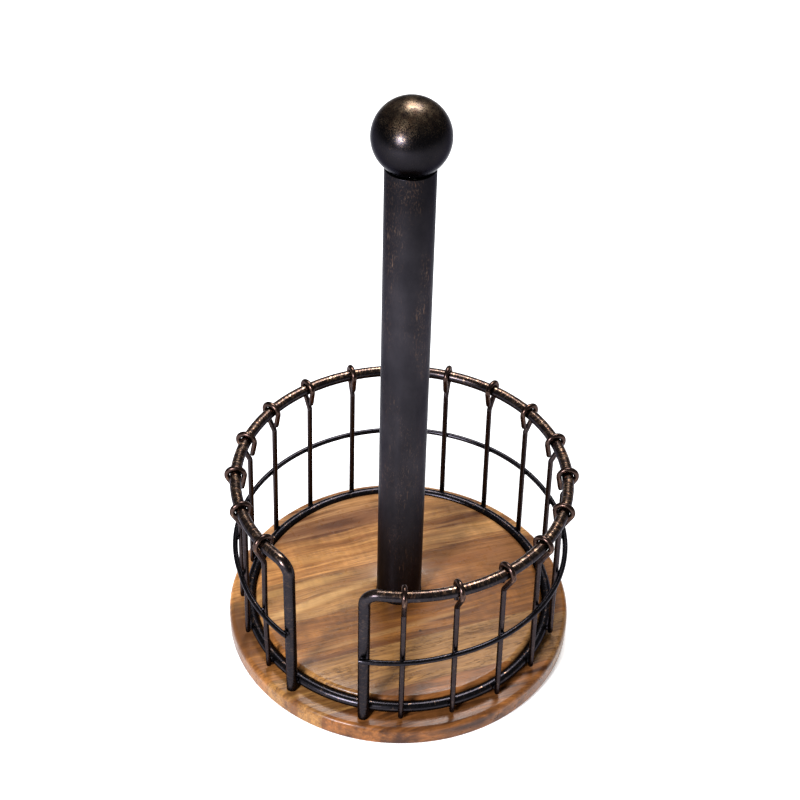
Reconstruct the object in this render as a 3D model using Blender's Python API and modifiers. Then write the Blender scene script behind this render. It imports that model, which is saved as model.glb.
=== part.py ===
"""Countertop paper towel holder: a turned acacia board, a steel post with a ball finial, and a
wire basket, open at the front, that keeps the roll from unwinding.

Frame: origin at the centre of the footprint on the table, +Z up, the basket's gap facing -Y.
Angles around the basket start at -Y and grow towards +X. Every length is in metres.
"""

import math

import bmesh
import bpy
from mathutils import Vector

MM = 0.001
GAP = 0.3 * MM  # kept between neighbours that touch on the real object
WELD_GAP = 0.15 * MM  # kept between wires that are welded together on the real object

# Board: one edge-glued acacia panel, turned round, with a rebate that leaves a raised plateau
BOARD_RADIUS = 97.5 * MM
BOARD_UNDERSIDE = 1.5 * MM
LEDGE_TOP = 13.3 * MM
PLATEAU_TOP = 20.9 * MM
PLATEAU_RADIUS = 82.0 * MM
BOARD_ROUNDING = 3.0 * MM
UNDERSIDE_ROUNDING = 1.5 * MM
POST_RECESS_DEPTH = 3.0 * MM
NUT_RECESS_RADIUS = 10.0 * MM
NUT_RECESS_DEPTH = 8.0 * MM

# Rubber feet under the board
FOOT_COUNT = 4
FOOT_RADIUS = 6.0 * MM
FOOT_HEIGHT = BOARD_UNDERSIDE - GAP
FOOT_CIRCLE_RADIUS = 78.0 * MM
FOOT_ROUNDING = 0.4 * MM
FIRST_FOOT_ANGLE = 45

# Post: a steel tube clamped between board and ball by a threaded rod
TUBE_RADIUS = 12.7 * MM
TUBE_WALL = 1.2 * MM
TUBE_CHAMFER = 0.3 * MM
BALL_RADIUS = 19.45 * MM
BALL_CENTRE = 322.4 * MM
BALL_WALL = 1.5 * MM
ROD_RADIUS = 3.0 * MM
ROD_ENGAGEMENT = 8.0 * MM  # length of rod inside the ball's insert, so also the finial's travel
ROD_START = 3.0 * MM
ROD_CHAMFER = 0.5 * MM
NUT_ACROSS_FLATS = 10.0 * MM
NUT_HEIGHT = 5.0 * MM
NUT_CHAMFER = 0.5 * MM
WASHER_RADIUS = 9.0 * MM
WASHER_THICKNESS = 1.2 * MM
INSERT_RADIUS = 4.7 * MM
INSERT_LENGTH = 10.0 * MM
INSERT_COLLAR_RADIUS = 6.5 * MM
INSERT_COLLAR_HEIGHT = 2.0 * MM

# Basket
RAIL_RADIUS = 90.2 * MM
RAIL_HEIGHT = 109.1 * MM
RAIL_ROD = 3.15 * MM
RAIL_BEND = 8.0 * MM
END_POST_ANGLE = 14.0
ROD_END_ROUNDING = ((0.45, 0.0), (0.85, 0.25), (1.0, 0.7))  # shares of the rod's radius: own, set back
RING_RADIUS = 85.25 * MM
RING_HEIGHT = 18.0 * MM
RING_ROD = 2.9 * MM
RIB_COUNT = 18
FIRST_RIB_ANGLE = 26.9
RIB_WIRE = 1.5 * MM
RIB_RADIUS = RING_RADIUS + RING_ROD + WELD_GAP + RIB_WIRE
RIB_FOOT = RING_HEIGHT - RING_ROD  # flush with the underside of the ring
RIB_LEAN = 1.3 * MM  # how much nearer the axis a rib is at its hook than at its foot
HOOK_RADIUS = RAIL_ROD + GAP + RIB_WIRE
HOOK_START = 13.5 * MM  # below the rail's centre, where a rib leans out to pass the rail
HOOK_END = (-3.3 * MM, -9.4 * MM)  # from the rail's centre to the hook's cut end, inwards and down
RIB_BEND = 2.5 * MM
MID_WIRE_HEIGHT = 62.5 * MM
MID_WIRE_LEAN = 1.1 * MM  # how much higher it is welded on at the lean angle than on average
MID_WIRE_LEAN_ANGLE = 75.0
MID_WIRE_RISE = (MID_WIRE_HEIGHT - RIB_FOOT) / (RAIL_HEIGHT - HOOK_START - RIB_FOOT)
RIB_MIDDLE_RADIUS = RIB_RADIUS - RIB_LEAN * MID_WIRE_RISE
MID_WIRE_RADIUS = RIB_MIDDLE_RADIUS + RIB_WIRE + WELD_GAP + RIB_WIRE
MID_WIRE_END_RADIUS = RAIL_RADIUS + RAIL_ROD + WELD_GAP + RIB_WIRE
MID_WIRE_END_ANGLE = END_POST_ANGLE - 1.0
MID_WIRE_DROP = 2.2 * MM  # how much lower the end to the left of the gap is welded on
RIB_SPACING = (360 - 2 * FIRST_RIB_ANGLE) / (RIB_COUNT - 1)
SECOND_RIB_ANGLE = FIRST_RIB_ANGLE + RIB_SPACING
FIRST_RIB_SWING = RIB_SPACING / (SECOND_RIB_ANGLE - END_POST_ANGLE)
END_RIB_BELLY = (MID_WIRE_END_RADIUS - MID_WIRE_RADIUS) * FIRST_RIB_SWING
END_RIB_SPLAY = 1.5 * MM  # how much farther out the two ribs beside the gap are at the hook

# Facets
BOARD_STEPS = 72
TUBE_STEPS = 36
BALL_STEPS = 36
SMALL_STEPS = 24
BEND_STEPS = 2
HOOK_STEPS = 8
RAIL_STEP_DEGREES = 5.0
MID_WIRE_STEPS = 3  # between one rib and the next
RING_SEGMENTS = 72
WIRE_SIDES_RESOLUTION = 2
WIRE_SIDES = 8
SHARP_ANGLE = math.radians(35)
MERGE_DISTANCE = 1e-6


def clear_scene():
    for obj in list(bpy.data.objects):
        bpy.data.objects.remove(obj, do_unlink=True)


def new_collection(name):
    collection = bpy.data.collections.new(name)
    bpy.context.scene.collection.children.link(collection)
    return collection


def new_material(name, colour, roughness, metallic):
    material = bpy.data.materials.new(name)
    material.use_nodes = True
    shader = material.node_tree.nodes["Principled BSDF"]
    shader.inputs["Base Color"].default_value = (*colour, 1.0)
    shader.inputs["Roughness"].default_value = roughness
    shader.inputs["Metallic"].default_value = metallic
    return material


clear_scene()
PARTS = new_collection("paper_towel_holder")
CUTTERS = new_collection("cutters")
ACACIA = new_material("acacia", (0.36, 0.19, 0.09), 0.4, 0.0)
BLACK_BRONZE = new_material("black_bronze", (0.035, 0.03, 0.028), 0.35, 0.8)
ZINC_STEEL = new_material("zinc_steel", (0.55, 0.55, 0.53), 0.35, 1.0)
RUBBER = new_material("rubber", (0.03, 0.03, 0.03), 0.8, 0.0)


def around(radius, angle, height):
    """The point at this angle from -Y towards +X, in degrees."""
    turn = math.radians(angle)
    return Vector((radius * math.sin(turn), -radius * math.cos(turn), height))


def arc(centre, radius, start, end, steps):
    """Points of a circular arc in a plane, with its angles in degrees."""
    points = []
    for i in range(steps + 1):
        turn = math.radians(start + (end - start) * i / steps)
        points.append((centre[0] + radius * math.cos(turn), centre[1] + radius * math.sin(turn)))
    return points


def rounded(corners, radius):
    """A path through the corners with each inner corner turned into a short arc."""
    path = [corners[0]]
    for before, corner, after in zip(corners, corners[1:], corners[2:]):
        back = (before - corner).normalized()
        ahead = (after - corner).normalized()
        half = back.angle(ahead) / 2
        setback = radius / math.tan(half)
        centre = corner + (back + ahead).normalized() * radius / math.sin(half)
        start = corner + back * setback - centre
        end = corner + ahead * setback - centre
        for i in range(BEND_STEPS + 1):
            path.append(centre + start.slerp(end, i / BEND_STEPS) * radius)
    path.append(corners[-1])
    return path


def shade_round(mesh):
    mesh.shade_smooth()
    mesh.set_sharp_from_angle(angle=SHARP_ANGLE)


def add_object(name, data, material, collection=None):
    obj = bpy.data.objects.new(name, data)
    (collection or PARTS).objects.link(obj)
    if material:
        data.materials.append(material)
    return obj


def baked(obj):
    """Turns an object with modifiers, or a curve, into a plain closed mesh under the same name."""
    bpy.context.view_layer.update()
    graph = bpy.context.evaluated_depsgraph_get()
    mesh = bpy.data.meshes.new_from_object(obj.evaluated_get(graph))
    welded = bmesh.new()
    welded.from_mesh(mesh)
    bmesh.ops.remove_doubles(welded, verts=welded.verts, dist=MERGE_DISTANCE)
    welded.to_mesh(mesh)
    welded.free()
    shade_round(mesh)
    name, place, collection = obj.name, obj.matrix_world.copy(), obj.users_collection[0]
    bpy.data.objects.remove(obj, do_unlink=True)
    solid = bpy.data.objects.new(name, mesh)
    collection.objects.link(solid)
    solid.matrix_world = place
    return solid


def turned(name, profile, steps, material, closed=False):
    """A turned piece from (radius, height) points that run down its outer side."""
    mesh = bpy.data.meshes.new(name)
    edges = [(i, i + 1) for i in range(len(profile) - 1)]
    if closed:
        edges.append((len(profile) - 1, 0))
    mesh.from_pydata([(radius, 0.0, height) for radius, height in profile], edges, [])
    obj = add_object(name, mesh, material)
    screw = obj.modifiers.new("turn", "SCREW")
    screw.steps = steps
    screw.render_steps = steps
    screw.use_merge_vertices = True
    screw.merge_threshold = MERGE_DISTANCE
    return baked(obj)


def wire(name, path, radius, material, rounded_ends=False):
    """A round wire along a path, with flat cut ends unless they are rounded over."""
    if rounded_ends:
        path, sizes = with_rounded_ends(path, radius)
    else:
        sizes = [1.0] * len(path)
    curve = bpy.data.curves.new(name, "CURVE")
    curve.dimensions = "3D"
    curve.bevel_depth = radius
    curve.bevel_resolution = WIRE_SIDES_RESOLUTION
    curve.use_fill_caps = True
    spline = curve.splines.new("POLY")
    spline.points.add(len(path) - 1)
    for point, place, size in zip(spline.points, path, sizes):
        point.co = (*place, 1.0)
        point.radius = size
    return baked(add_object(name, curve, material))


def with_rounded_ends(path, radius):
    """The path with two more points near each end, and every point's share of the wire's radius."""
    start, end = [], []
    for share, setback in ROD_END_ROUNDING:
        for ends, tip, inner in ((start, path[0], path[1]), (end, path[-1], path[-2])):
            ends.append((tip + (inner - tip).normalized() * radius * setback, share))
    points = start + [(place, 1.0) for place in path[1:-1]] + end[::-1]
    return [place for place, _ in points], [share for _, share in points]


def cylinder_cutter(name, radius, low, high, place):
    shape = bmesh.new()
    bmesh.ops.create_cone(
        shape, cap_ends=True, segments=SMALL_STEPS, radius1=radius, radius2=radius, depth=high - low
    )
    mesh = bpy.data.meshes.new(name)
    shape.to_mesh(mesh)
    shape.free()
    cutter = add_object(name, mesh, None, CUTTERS)
    cutter.location = (place[0], place[1], (low + high) / 2)
    cutter.hide_render = True
    cutter.display_type = "WIRE"
    return cutter


def cut(obj, cutter):
    boolean = obj.modifiers.new(cutter.name, "BOOLEAN")
    boolean.operation = "DIFFERENCE"
    boolean.solver = "EXACT"
    boolean.object = cutter


def end_post_places():
    """The feet of the two end posts, right then left of the gap."""
    return [around(RAIL_RADIUS, sign * END_POST_ANGLE, 0.0) for sign in (1, -1)]


def make_board():
    recess_floor = PLATEAU_TOP - POST_RECESS_DEPTH
    recess_radius = TUBE_RADIUS + GAP
    bore = ROD_RADIUS + GAP
    nut_ceiling = BOARD_UNDERSIDE + NUT_RECESS_DEPTH
    profile = [(bore, recess_floor), (recess_radius, recess_floor), (recess_radius, PLATEAU_TOP)]
    profile += arc(
        (PLATEAU_RADIUS - BOARD_ROUNDING, PLATEAU_TOP - BOARD_ROUNDING), BOARD_ROUNDING, 90, 0, 4
    )
    profile += [(PLATEAU_RADIUS, LEDGE_TOP)]
    profile += arc(
        (BOARD_RADIUS - BOARD_ROUNDING, LEDGE_TOP - BOARD_ROUNDING), BOARD_ROUNDING, 90, 0, 4
    )
    profile += arc(
        (BOARD_RADIUS - UNDERSIDE_ROUNDING, BOARD_UNDERSIDE + UNDERSIDE_ROUNDING),
        UNDERSIDE_ROUNDING, 0, -90, 2,
    )
    profile += [(NUT_RECESS_RADIUS, BOARD_UNDERSIDE), (NUT_RECESS_RADIUS, nut_ceiling)]
    profile += [(bore, nut_ceiling)]
    turned("base_board", profile, BOARD_STEPS, ACACIA, closed=True)


def make_feet():
    profile = [(0.0, FOOT_HEIGHT), (FOOT_RADIUS, FOOT_HEIGHT)]
    profile += arc((FOOT_RADIUS - FOOT_ROUNDING, FOOT_ROUNDING), FOOT_ROUNDING, 0, -90, 2)
    profile += [(0.0, 0.0)]
    for number in range(FOOT_COUNT):
        foot = turned(f"rubber_foot_{number + 1}", profile, SMALL_STEPS, RUBBER)
        angle = FIRST_FOOT_ANGLE + number * 360 / FOOT_COUNT
        foot.location = around(FOOT_CIRCLE_RADIUS, angle, 0.0)


def tube_top():
    """Where the ball, seated in the tube's mouth, just clears its inner edge."""
    inner = TUBE_RADIUS - TUBE_WALL
    return BALL_CENTRE - math.sqrt((BALL_RADIUS + GAP) ** 2 - inner**2)


def make_post():
    inner = TUBE_RADIUS - TUBE_WALL
    bottom = PLATEAU_TOP - POST_RECESS_DEPTH + GAP
    profile = [
        (inner, tube_top()),
        (TUBE_RADIUS - TUBE_CHAMFER, tube_top()),
        (TUBE_RADIUS, tube_top() - TUBE_CHAMFER),
        (TUBE_RADIUS, bottom),
        (inner, bottom),
    ]
    turned("post_tube", profile, TUBE_STEPS, BLACK_BRONZE, closed=True)


def insert_bottom():
    """The insert starts where the ball's shell is cut open for it."""
    return BALL_CENTRE - math.sqrt(BALL_RADIUS**2 - (INSERT_RADIUS + GAP) ** 2)


def make_ball():
    """A hollow ball, open at the bottom, whose origin is on the post's axis."""
    opening = INSERT_RADIUS + GAP
    inner = BALL_RADIUS - BALL_WALL
    outer_end = -math.degrees(math.acos(opening / BALL_RADIUS))
    inner_end = -math.degrees(math.acos(opening / inner))
    profile = arc((0.0, 0.0), BALL_RADIUS, 90, outer_end, 17)
    profile += arc((0.0, 0.0), inner, inner_end, 90, 8)
    for side in (0, -1):
        profile[side] = (0.0, profile[side][1])
    ball = turned("finial_ball", profile, BALL_STEPS, BLACK_BRONZE)
    ball.location = (0.0, 0.0, BALL_CENTRE)


def make_insert():
    low = insert_bottom()
    bore = ROD_RADIUS + GAP
    collar_low = BALL_CENTRE - math.sqrt((BALL_RADIUS - BALL_WALL) ** 2 - INSERT_COLLAR_RADIUS**2)
    collar_low += 2 * GAP
    profile = [
        (bore, low + INSERT_LENGTH),
        (INSERT_RADIUS, low + INSERT_LENGTH),
        (INSERT_RADIUS, collar_low + INSERT_COLLAR_HEIGHT),
        (INSERT_COLLAR_RADIUS, collar_low + INSERT_COLLAR_HEIGHT),
        (INSERT_COLLAR_RADIUS, collar_low),
        (INSERT_RADIUS, collar_low),
        (INSERT_RADIUS, low),
        (bore, low),
    ]
    turned("finial_insert", profile, SMALL_STEPS, ZINC_STEEL, closed=True)


def make_tie_rod():
    top = insert_bottom() + ROD_ENGAGEMENT
    profile = [
        (0.0, top),
        (ROD_RADIUS - ROD_CHAMFER, top),
        (ROD_RADIUS, top - ROD_CHAMFER),
        (ROD_RADIUS, ROD_START + ROD_CHAMFER),
        (ROD_RADIUS - ROD_CHAMFER, ROD_START),
        (0.0, ROD_START),
    ]
    turned("tie_rod", profile, SMALL_STEPS, ZINC_STEEL)


def make_clamp_washer_and_nut():
    bore = ROD_RADIUS + GAP
    washer_top = BOARD_UNDERSIDE + NUT_RECESS_DEPTH - GAP
    washer_low = washer_top - WASHER_THICKNESS
    profile = [
        (bore, washer_top), (WASHER_RADIUS, washer_top), (WASHER_RADIUS, washer_low), (bore, washer_low)
    ]
    turned("clamp_washer", profile, SMALL_STEPS, ZINC_STEEL, closed=True)

    nut_top = washer_low - GAP
    corner_radius = NUT_ACROSS_FLATS / math.sqrt(3)
    shape = bmesh.new()
    bmesh.ops.create_cone(
        shape, cap_ends=True, segments=6, radius1=corner_radius, radius2=corner_radius, depth=NUT_HEIGHT
    )
    mesh = bpy.data.meshes.new("clamp_nut")
    shape.to_mesh(mesh)
    shape.free()
    nut = add_object("clamp_nut", mesh, ZINC_STEEL)
    nut.location = (0.0, 0.0, nut_top - NUT_HEIGHT / 2)
    chamfer = nut.modifiers.new("chamfer", "BEVEL")
    chamfer.width = NUT_CHAMFER
    chamfer.segments = 1
    cut(nut, cylinder_cutter("nut_bore", bore, 0.0, PLATEAU_TOP, (0.0, 0.0)))


def rail_path():
    """Up the right end post, round the basket, and down the left end post."""
    foot = LEDGE_TOP + GAP
    bend_degrees = math.degrees(RAIL_BEND / RAIL_RADIUS)
    arc_start = END_POST_ANGLE + bend_degrees
    corner = []
    for along, up in arc((RAIL_BEND, RAIL_HEIGHT - RAIL_BEND), RAIL_BEND, 180, 90, 6):
        corner.append((END_POST_ANGLE + math.degrees(along / RAIL_RADIUS), up))
    sweep = 360 - 2 * arc_start
    count = round(sweep / RAIL_STEP_DEGREES)
    middle = [(arc_start + sweep * i / count, RAIL_HEIGHT) for i in range(1, count)]
    last_corner = [(360 - angle, up) for angle, up in reversed(corner)]
    path = [(END_POST_ANGLE, foot)] + corner + middle + last_corner + [(360 - END_POST_ANGLE, foot)]
    return [around(RAIL_RADIUS, angle, up) for angle, up in path]


def mid_wire_path():
    """Round the outside of the ribs, swinging out from the second rib to lie on the end post."""
    lead = (FIRST_RIB_ANGLE - END_POST_ANGLE) / MID_WIRE_STEPS
    ends = [MID_WIRE_END_ANGLE] + [END_POST_ANGLE + lead * i for i in range(MID_WIRE_STEPS)]
    count = MID_WIRE_STEPS * (RIB_COUNT - 1)
    step = RIB_SPACING / MID_WIRE_STEPS
    angles = ends + [FIRST_RIB_ANGLE + step * i for i in range(count + 1)]
    angles += [360 - angle for angle in reversed(ends)]
    path = []
    for angle in angles:
        from_gap = min(angle, 360 - angle)
        swing = (SECOND_RIB_ANGLE - from_gap) / (SECOND_RIB_ANGLE - END_POST_ANGLE)
        swing = min(max(swing, 0.0), 1.0)
        radius = MID_WIRE_RADIUS + (MID_WIRE_END_RADIUS - MID_WIRE_RADIUS) * swing
        lean = MID_WIRE_LEAN * math.cos(math.radians(angle - MID_WIRE_LEAN_ANGLE))
        drop = MID_WIRE_DROP * swing if angle > 180 else 0.0
        path.append(around(radius, angle, MID_WIRE_HEIGHT + lean - drop))
    return path


def tangent_angle(point, centre, radius, side):
    """Where a line from the point touches the circle, in degrees; side is +1 or -1."""
    away = Vector(point) - Vector(centre)
    towards_point = math.degrees(math.atan2(away.y, away.x))
    return towards_point + side * math.degrees(math.acos(radius / away.length))


def rib_path(belly, splay):
    """A rib in the plane of (radius, height): up, out round the rail and back onto itself."""
    rail = (RAIL_RADIUS, RAIL_HEIGHT)
    middle = (RIB_MIDDLE_RADIUS + belly, MID_WIRE_HEIGHT)
    start = (RIB_RADIUS - RIB_LEAN + splay, RAIL_HEIGHT - HOOK_START)
    end = (RAIL_RADIUS + HOOK_END[0], RAIL_HEIGHT + HOOK_END[1])
    outside = tangent_angle(start, rail, HOOK_RADIUS, 1)
    inside = tangent_angle(end, rail, HOOK_RADIUS, -1) + 360
    hook = arc(rail, HOOK_RADIUS, outside, inside, HOOK_STEPS)
    corners = [Vector((*place, 0.0)) for place in (middle, start, hook[0])]
    bent = [(point.x, point.y) for point in rounded(corners, RIB_BEND)[:-1]]
    return [(RIB_RADIUS, RIB_FOOT)] + bent + hook + [end]


def make_ribs():
    for number in range(RIB_COUNT):
        angle = FIRST_RIB_ANGLE + RIB_SPACING * number
        shift = (END_RIB_BELLY, END_RIB_SPLAY) if number in (0, RIB_COUNT - 1) else (0.0, 0.0)
        path = [around(radius, angle, height) for radius, height in rib_path(*shift)]
        wire(f"rib_{number + 1:02d}", path, RIB_WIRE, BLACK_BRONZE)


def make_bottom_ring():
    """A closed ring inside the ribs, with a shallow saddle where each end post is welded on."""
    bpy.ops.mesh.primitive_torus_add(
        major_radius=RING_RADIUS, minor_radius=RING_ROD,
        major_segments=RING_SEGMENTS, minor_segments=WIRE_SIDES,
        location=(0.0, 0.0, RING_HEIGHT),
    )
    ring = bpy.context.object
    ring.name = "bottom_ring"
    for collection in list(ring.users_collection):
        collection.objects.unlink(ring)
    PARTS.objects.link(ring)
    ring.data.materials.append(BLACK_BRONZE)
    shade_round(ring.data)
    for side, place in zip(("right", "left"), end_post_places()):
        low, high = RING_HEIGHT - 2 * RING_ROD, RING_HEIGHT + 2 * RING_ROD
        cut(ring, cylinder_cutter(f"weld_saddle_{side}", RAIL_ROD + GAP, low, high, place))


make_board()
make_feet()
make_post()
make_ball()
make_insert()
make_tie_rod()
make_clamp_washer_and_nut()
wire("top_rail", rail_path(), RAIL_ROD, BLACK_BRONZE, rounded_ends=True)
wire("mid_wire", mid_wire_path(), RIB_WIRE, BLACK_BRONZE)
make_bottom_ring()
make_ribs()
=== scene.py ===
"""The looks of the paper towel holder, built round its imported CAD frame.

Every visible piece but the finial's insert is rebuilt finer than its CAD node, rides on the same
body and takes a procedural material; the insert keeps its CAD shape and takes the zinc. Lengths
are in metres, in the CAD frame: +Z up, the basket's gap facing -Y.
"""

import math

import bmesh
import bpy
from mathutils import Matrix, Vector, noise


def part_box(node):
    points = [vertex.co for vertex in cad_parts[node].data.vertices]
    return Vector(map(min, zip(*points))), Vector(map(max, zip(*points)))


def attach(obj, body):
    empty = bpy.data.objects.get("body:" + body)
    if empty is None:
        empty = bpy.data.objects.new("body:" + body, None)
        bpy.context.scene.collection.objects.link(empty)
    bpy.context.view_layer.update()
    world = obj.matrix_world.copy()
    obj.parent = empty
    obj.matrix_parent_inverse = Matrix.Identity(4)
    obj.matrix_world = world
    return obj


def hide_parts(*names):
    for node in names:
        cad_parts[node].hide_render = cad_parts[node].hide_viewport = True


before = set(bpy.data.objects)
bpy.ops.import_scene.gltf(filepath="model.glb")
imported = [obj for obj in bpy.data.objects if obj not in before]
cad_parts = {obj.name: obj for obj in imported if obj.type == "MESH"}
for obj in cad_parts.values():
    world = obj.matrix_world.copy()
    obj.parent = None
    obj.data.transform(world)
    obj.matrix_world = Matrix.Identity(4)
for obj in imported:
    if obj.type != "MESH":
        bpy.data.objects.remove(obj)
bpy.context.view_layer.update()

MM = 0.001
scene = bpy.context.scene
scene.view_settings.view_transform = "Standard"

# ---------------------------------------------------------------- sizes, from the frame where it has them

BOARD_LOW, BOARD_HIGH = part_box("base_board")
POST_LOW, POST_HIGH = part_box("post_tube")
BALL_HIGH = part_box("finial_ball")[1]
RING_LOW, RING_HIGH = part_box("bottom_ring")
MID_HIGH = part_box("mid_wire")[1]
ROD_LOW, ROD_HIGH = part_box("tie_rod")
NUT_LOW, NUT_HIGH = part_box("clamp_nut")
WASHER_LOW, WASHER_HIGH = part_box("clamp_washer")
FOOT_LOW, FOOT_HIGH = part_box("rubber_foot_1")

BOARD_RADIUS = BOARD_HIGH.x
BOARD_BOTTOM = BOARD_LOW.z
PLATEAU_TOP = BOARD_HIGH.z
PLATEAU_RADIUS = 82.0 * MM
LEDGE_TOP = 13.3 * MM
BOARD_ROUNDING = 3.0 * MM
LEDGE_FILLET = 0.8 * MM
UNDERSIDE_ROUNDING = 1.5 * MM
RECESS_EDGE = 0.15 * MM  # broken edge of the two recesses
PLATEAU_LOOPS = (30 * MM, 50 * MM, 68 * MM)
UNDERSIDE_LOOPS = (80 * MM, 50 * MM)
POST_RECESS_DEPTH = 3.0 * MM
NUT_RECESS_RADIUS = 10.0 * MM
NUT_RECESS_DEPTH = 8.0 * MM
FOOT_RADIUS = (FOOT_HIGH.x - FOOT_LOW.x) / 2
FOOT_CIRCLE_RADIUS = 78.0 * MM
FOOT_ROUNDING = 0.45 * MM
FOOT_HOLLOW = 0.2 * MM

TUBE_RADIUS = POST_HIGH.x
TUBE_WALL = 1.2 * MM
TUBE_LIP = 0.45 * MM
POST_LOOPS = (0.25, 0.2, 0.15, 0.1, 0.05)
BALL_RADIUS = BALL_HIGH.x
BALL_CENTRE = BALL_HIGH.z - BALL_RADIUS
BALL_WALL = 1.5 * MM
ROD_RADIUS = ROD_HIGH.x
ROD_TIP = 0.6 * MM
THREAD_LENGTH = 16.0 * MM
THREAD_PITCH = 1.0 * MM
THREAD_DEPTH = 0.45 * MM
WASHER_EDGE = 0.25 * MM
NUT_CHAMFER = 0.6 * MM
NUT_CHAMFER_SHARE = 0.12  # of the nut's height, at each end
NUT_CORNER_SHARE = 1.155  # of the distance to a flat
INSERT_RADIUS = 4.7 * MM

GAP = 0.3 * MM  # clearance of pieces that fit into each other
WELD_GAP = 0.15 * MM  # between wires that cross, which a weld bridges
RING_ROD = (RING_HIGH.z - RING_LOW.z) / 2
RING_RADIUS = RING_HIGH.x - RING_ROD
RING_HEIGHT = (RING_HIGH.z + RING_LOW.z) / 2
RAIL_RADIUS = 90.2 * MM
RAIL_ROD = 3.15 * MM
RAIL_HEIGHT = 109.1 * MM
RAIL_BEND = 8.0 * MM
END_POST_ANGLE = 14.0
RIB_COUNT = 18
FIRST_RIB_ANGLE = 26.9
RIB_WIRE = 1.5 * MM
RIB_RADIUS = RING_RADIUS + RING_ROD + WELD_GAP + RIB_WIRE
RIB_FOOT = RING_LOW.z
RIB_LEAN = 1.3 * MM  # how much nearer the axis a rib is below its hook than at its foot
RIB_BEND = 2.5 * MM
HOOK_SLACK = 0.12 * MM
HOOK_RADIUS = RAIL_ROD + HOOK_SLACK + RIB_WIRE
HOOK_START = 13.5 * MM  # below the rail's centre, where a rib leans out to pass the rail
HOOK_END = (-3.1 * MM, -9.4 * MM)  # from the rail's centre to the hook's cut end, inwards and down
MID_LEAN = 1.1 * MM  # how much higher the mid wire is at the lean angle than on average
MID_HEIGHT = MID_HIGH.z - MID_LEAN - RIB_WIRE
MID_LEAN_ANGLE = 75.0
# share of a rib's straight length at which the mid wire crosses it
MID_RISE = (MID_HEIGHT - RIB_FOOT) / (RAIL_HEIGHT - HOOK_START - RIB_FOOT)
RIB_RADIUS_AT_MID = RIB_RADIUS - RIB_LEAN * MID_RISE
MID_RADIUS = RIB_RADIUS_AT_MID + 2 * RIB_WIRE + WELD_GAP
MID_END_RADIUS = RAIL_RADIUS + RAIL_ROD + WELD_GAP + RIB_WIRE
MID_END_ANGLE = END_POST_ANGLE - 1.0
MID_DROP = 2.2 * MM  # how much lower its end to the left of the gap is welded on
RIB_SPACING = (360 - 2 * FIRST_RIB_ANGLE) / (RIB_COUNT - 1)
SECOND_RIB_ANGLE = FIRST_RIB_ANGLE + RIB_SPACING
# share of the mid wire's swing out to an end post that it has made at the first rib
FIRST_RIB_SWING = RIB_SPACING / (SECOND_RIB_ANGLE - END_POST_ANGLE)
END_RIB_SPLAY = 1.5 * MM  # how much farther out the two ribs beside the gap are below the hook
END_RIB_BELLY = (MID_END_RADIUS - MID_RADIUS) * FIRST_RIB_SWING  # the same, at the mid wire

RIB_FOOT_WELD = (1.7 * MM, 0.9 * MM, 1.5 * MM)  # half sizes: along the ring, outwards, up
RIB_MID_WELD = (1.3 * MM, 0.8 * MM, 1.2 * MM)
END_POST_FOOT_WELD = (3.2 * MM, 0.9 * MM, 1.8 * MM)
END_POST_MID_WELD = (2.2 * MM, 0.8 * MM, 1.3 * MM)
WELD_SINK = 0.1 * MM
WELD_RISE = 0.3 * MM
WELD_LUMPS = 0.28  # how uneven a weld is, as a share of its size

BOARD_STEPS = 240
POST_STEPS = 128
BALL_STEPS = 128
WASHER_STEPS = 96
NUT_STEPS = 120
FOOT_STEPS = 64
THREAD_STEPS = 48
UPRIGHT_STEPS = 12
BEND_STEPS = 14
RAIL_STEPS = 190
RING_STEPS = 200
MID_WIRE_STEPS = 240
RIB_STEPS = 5
HOOK_STEPS = 28
ROD_SIDES = 20
WIRE_SIDES = 14
SMOOTH_ANGLE = math.radians(40)
NO_RADIUS = 1e-7
CAP_SWEEP = 82.0  # degrees of the quarter circle at a rod's end; the rest is its flat

# ---------------------------------------------------------------- shader helpers


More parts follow.
